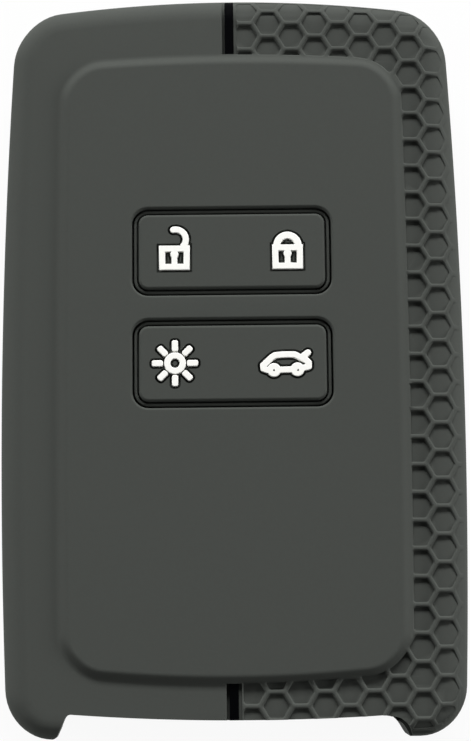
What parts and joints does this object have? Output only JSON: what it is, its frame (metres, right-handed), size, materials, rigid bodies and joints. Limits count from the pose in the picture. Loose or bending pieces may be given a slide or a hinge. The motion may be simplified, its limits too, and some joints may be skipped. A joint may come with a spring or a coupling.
{
  "type": "key fob cover",
  "caption": "Soft silicone sleeve for a flat card key, open at one end between ears, with a raised front panel, rocker button pads with white signs and a honeycomb band.",
  "frame": {"origin": "middle of the cover's box on the back face that it lies on", "axes": "+X across the cover towards the honeycomb side, +Y along it from the open end to the closed end, +Z out of the front face"},
  "size_m": [0.0634, 0.102, 0.0139],
  "materials": {
    "grey_silicone": "matte, slightly velvety",
    "white_silicone": "satin",
    "black_silicone": "satin"
  },
  "bodies": {
    "cover": {"cover_shell": "grey_silicone", "top_stripe": "black_silicone", "bottom_stripe": "black_silicone"},
    "upper_web": {"upper_button_web": "grey_silicone"},
    "upper_pad": {"upper_button_pad": "grey_silicone", "unlock_icon": "white_silicone", "lock_icon": "white_silicone"},
    "lower_web": {"lower_button_web": "grey_silicone"},
    "lower_pad": {"lower_button_pad": "grey_silicone", "light_icon": "white_silicone", "boot_icon": "white_silicone"}
  },
  "joints": [
    {"name": "upper_press", "type": "slide", "parent": "cover", "child": "upper_web", "axis": [0, 0, -1], "range_m": [0, 0.0007], "stiffness_N_per_m": 3000, "deforming": ["upper_button_web"]},
    {"name": "upper_rock", "type": "hinge", "parent": "upper_web", "child": "upper_pad", "pos_m": [0, 0.0144, 0.01225], "axis": [0, 1, 0], "range_deg": [-2, 2], "stiffness_Nm_per_rad": 0.3},
    {"name": "lower_press", "type": "slide", "parent": "cover", "child": "lower_web", "axis": [0, 0, -1], "range_m": [0, 0.0007], "stiffness_N_per_m": 3000, "deforming": ["lower_button_web"]},
    {"name": "lower_rock", "type": "hinge", "parent": "lower_web", "child": "lower_pad", "pos_m": [0, -0.001, 0.01225], "axis": [0, 1, 0], "range_deg": [-2, 2], "stiffness_Nm_per_rad": 0.3}
  ]
}
